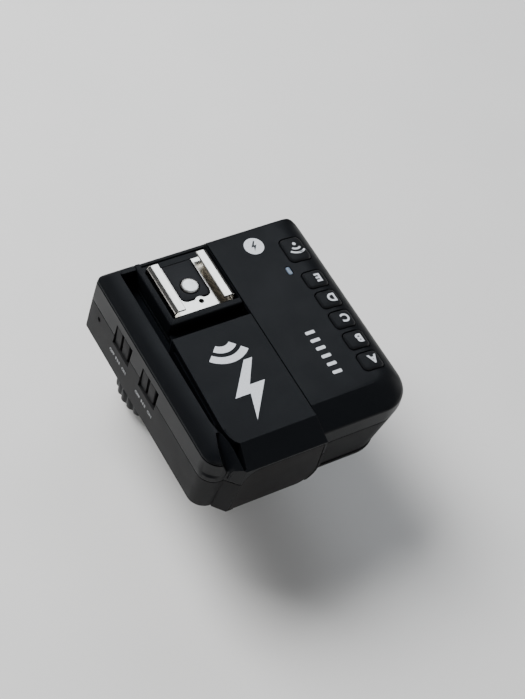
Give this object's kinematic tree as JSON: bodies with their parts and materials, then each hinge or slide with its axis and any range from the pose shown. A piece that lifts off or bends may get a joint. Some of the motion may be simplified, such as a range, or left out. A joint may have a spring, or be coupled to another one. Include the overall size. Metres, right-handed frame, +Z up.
{
  "type": "wireless flash trigger",
  "caption": "Hot-shoe wireless flash trigger: flat keyed deck, accessory shoe on top, control column with screen and dial at the rear, locking shoe foot below.",
  "frame": {"origin": "centre of the foot's bottom face, straight below the centre contact of the accessory shoe", "axes": "+Z up out of the deck and the accessory shoe, +Y towards the front (the way the camera's lens points), +X to the viewer's right, the side with the two slide switches"},
  "size_m": [0.07, 0.079, 0.058],
  "materials": {
    "cover_plastic": "fine satin texture, nearly black with a cool tint",
    "case_plastic": "matte, slightly lighter dark grey",
    "key_plastic": "soft matte",
    "nickel": "bright nickel plating, slightly warm, wiped",
    "screen_glass": "gloss over a dark grey screen",
    "lamp_window": "deep red, gloss",
    "lamp_lens": "clouded blue-grey lens",
    "cell_wrap": "foil wrap",
    "circuit_board": "green solder mask"
  },
  "bodies": {
    "casing": {"assist_lamp": "lamp_lens", "assist_lamp_window": "lamp_window", "base_housing": "case_plastic", "battery_cell_1": "cell_wrap", "battery_cell_2": "cell_wrap", "case_screw_1": "nickel", "case_screw_2": "nickel", "case_screw_3": "nickel", "cell_plate_1": "nickel", "cell_plate_2": "nickel", "cell_spring_1": "nickel", "cell_spring_2": "nickel", "dial_encoder": "nickel", "focus_switch_body": "nickel", "foot": "cover_plastic", "foot_contact_1": "nickel", "foot_contact_2": "nickel", "foot_contact_3": "nickel", "foot_contact_center": "nickel", "key_board": "circuit_board", "lower_case": "case_plastic", "main_board": "circuit_board", "power_switch_body": "nickel", "rear_bezel": "cover_plastic", "screen_module": "screen_glass", "screen_window": "screen_glass", "shoe_contact": "nickel", "shoe_insulator": "cover_plastic", "shoe_rails": "nickel", "shoe_seat": "cover_plastic", "sync_socket": "nickel", "test_lamp_lens": "lamp_lens", "top_cover_left": "cover_plastic", "top_cover_right": "cover_plastic", "usb_socket": "nickel", "wireless_lamp_lens": "lamp_lens"},
    "group_key_a": {"group_key_a": "key_plastic"},
    "group_key_b": {"group_key_b": "key_plastic"},
    "group_key_c": {"group_key_c": "key_plastic"},
    "group_key_d": {"group_key_d": "key_plastic"},
    "group_key_e": {"group_key_e": "key_plastic"},
    "wireless_key": {"wireless_key": "key_plastic"},
    "function_key_1": {"function_key_1": "key_plastic"},
    "function_key_2": {"function_key_2": "key_plastic"},
    "function_key_3": {"function_key_3": "key_plastic"},
    "function_key_4": {"function_key_4": "key_plastic"},
    "mode_key": {"mode_key": "key_plastic"},
    "channel_key": {"channel_key": "key_plastic"},
    "test_key": {"test_key": "key_plastic"},
    "menu_key": {"menu_key": "key_plastic"},
    "focus_switch": {"focus_switch_knob": "case_plastic"},
    "power_switch": {"power_switch_knob": "case_plastic"},
    "select_dial": {"select_dial": "cover_plastic"},
    "set_key": {"set_key": "key_plastic"},
    "lock_ring": {"lock_ring": "cover_plastic"},
    "pressure_plate": {"pressure_plate": "nickel"},
    "lock_pin": {"lock_pin": "nickel"},
    "battery_door": {"battery_door": "case_plastic"}
  },
  "joints": [
    {"name": "group_key_a_press", "type": "slide", "parent": "casing", "child": "group_key_a", "axis": [0, 0, -1], "range_m": [0, 0.0005], "stiffness_N_per_m": 400, "springref_m": -0.0003},
    {"name": "group_key_b_press", "type": "slide", "parent": "casing", "child": "group_key_b", "axis": [0, 0, -1], "range_m": [0, 0.0005], "stiffness_N_per_m": 400, "springref_m": -0.0003},
    {"name": "group_key_c_press", "type": "slide", "parent": "casing", "child": "group_key_c", "axis": [0, 0, -1], "range_m": [0, 0.0005], "stiffness_N_per_m": 400, "springref_m": -0.0003},
    {"name": "group_key_d_press", "type": "slide", "parent": "casing", "child": "group_key_d", "axis": [0, 0, -1], "range_m": [0, 0.0005], "stiffness_N_per_m": 400, "springref_m": -0.0003},
    {"name": "group_key_e_press", "type": "slide", "parent": "casing", "child": "group_key_e", "axis": [0, 0, -1], "range_m": [0, 0.0005], "stiffness_N_per_m": 400, "springref_m": -0.0003},
    {"name": "wireless_key_press", "type": "slide", "parent": "casing", "child": "wireless_key", "axis": [0, 0, -1], "range_m": [0, 0.0005], "stiffness_N_per_m": 400, "springref_m": -0.0003},
    {"name": "function_key_1_press", "type": "slide", "parent": "casing", "child": "function_key_1", "axis": [0, 1, 0], "range_m": [0, 0.0006], "stiffness_N_per_m": 400, "springref_m": -0.0003},
    {"name": "function_key_2_press", "type": "slide", "parent": "casing", "child": "function_key_2", "axis": [0, 1, 0], "range_m": [0, 0.0006], "stiffness_N_per_m": 400, "springref_m": -0.0003},
    {"name": "function_key_3_press", "type": "slide", "parent": "casing", "child": "function_key_3", "axis": [0, 1, 0], "range_m": [0, 0.0006], "stiffness_N_per_m": 400, "springref_m": -0.0003},
    {"name": "function_key_4_press", "type": "slide", "parent": "casing", "child": "function_key_4", "axis": [0, 1, 0], "range_m": [0, 0.0006], "stiffness_N_per_m": 400, "springref_m": -0.0003},
    {"name": "mode_key_press", "type": "slide", "parent": "casing", "child": "mode_key", "axis": [0, 1, 0], "range_m": [0, 0.0006], "stiffness_N_per_m": 400, "springref_m": -0.0003},
    {"name": "channel_key_press", "type": "slide", "parent": "casing", "child": "channel_key", "axis": [0, 1, 0], "range_m": [0, 0.0006], "stiffness_N_per_m": 400, "springref_m": -0.0003},
    {"name": "test_key_press", "type": "slide", "parent": "casing", "child": "test_key", "axis": [0, 1, 0], "range_m": [0, 0.0006], "stiffness_N_per_m": 400, "springref_m": -0.0003},
    {"name": "menu_key_press", "type": "slide", "parent": "casing", "child": "menu_key", "axis": [0, 1, 0], "range_m": [0, 0.0006], "stiffness_N_per_m": 400, "springref_m": -0.0003},
    {"name": "focus_switch_slide", "type": "slide", "parent": "casing", "child": "focus_switch", "axis": [0, 1, 0], "range_m": [0, 0.0016]},
    {"name": "power_switch_slide", "type": "slide", "parent": "casing", "child": "power_switch", "axis": [0, 1, 0], "range_m": [0, 0.0016]},
    {"name": "dial_turn", "type": "hinge", "parent": "casing", "child": "select_dial", "pos_m": [0.0046, -0.0129, 0.0196], "axis": [0, -1, 0], "continuous": true},
    {"name": "set_key_press", "type": "slide", "parent": "casing", "child": "set_key", "axis": [0, 1, 0], "range_m": [0, 0.0005], "stiffness_N_per_m": 400, "springref_m": -0.0003},
    {"name": "lock_ring_turn", "type": "hinge", "parent": "casing", "child": "lock_ring", "pos_m": [0, 0, 0.0078], "axis": [0, 0, 1], "range_deg": [0, 270]},
    {"name": "pressure_plate_slide", "type": "slide", "parent": "casing", "child": "pressure_plate", "axis": [0, 0, -1], "range_m": [0, 0.0016]},
    {"name": "lock_pin_slide", "type": "slide", "parent": "casing", "child": "lock_pin", "axis": [0, 0, -1], "range_m": [0, 0.0012]},
    {"name": "battery_door_slide", "type": "slide", "parent": "casing", "child": "battery_door", "axis": [0, 1, 0], "range_m": [0, 0.006]}
  ],
  "couplings": [
    {"joint": "pressure_plate_slide", "follows": "lock_ring_turn", "m_per_rad": 0.00033741},
    {"joint": "lock_pin_slide", "follows": "lock_ring_turn", "m_per_rad": 0.00025253}
  ]
}
